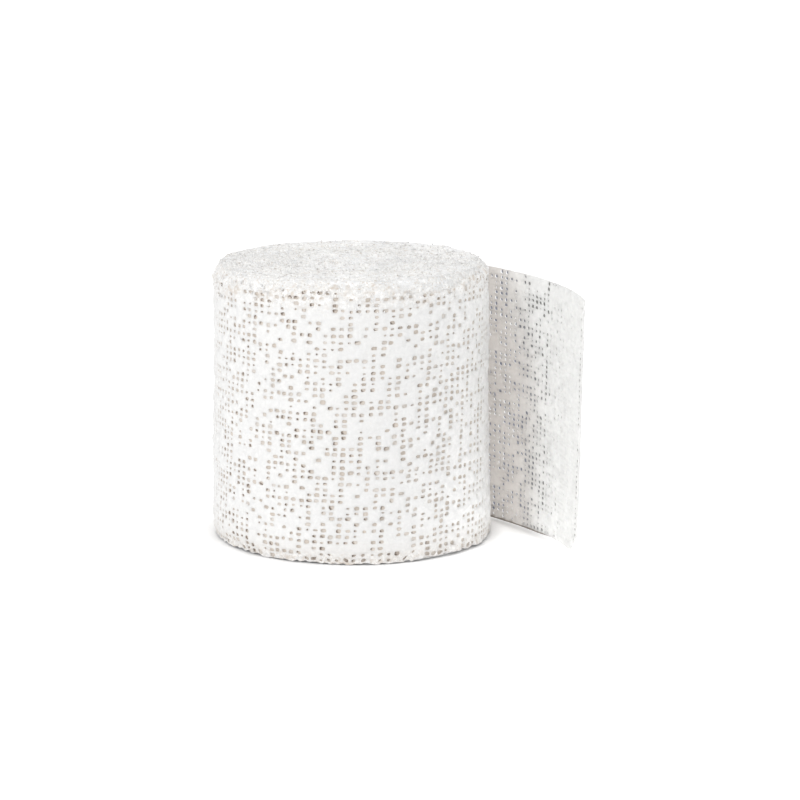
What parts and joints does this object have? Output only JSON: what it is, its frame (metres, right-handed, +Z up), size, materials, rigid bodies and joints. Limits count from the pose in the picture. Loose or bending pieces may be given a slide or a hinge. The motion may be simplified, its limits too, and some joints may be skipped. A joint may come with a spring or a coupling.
{
  "type": "plaster bandage roll",
  "caption": "Wound roll of plaster-filled gauze bandage standing on one end, with its loose outer end hanging free at one side.",
  "frame": {"origin": "centre of the flat lower wound end, where the roll rests", "axes": "+Z up along the roll's winding axis; -Y is the front; the loose end hangs towards +X and curls forward"},
  "size_m": [0.0691, 0.0547, 0.0529],
  "materials": {
    "plaster_gauze": "matt white plaster in open gauze"
  },
  "bodies": {
    "root": {"roll": "plaster_gauze", "loose_end": "plaster_gauze"}
  },
  "joints": []
}
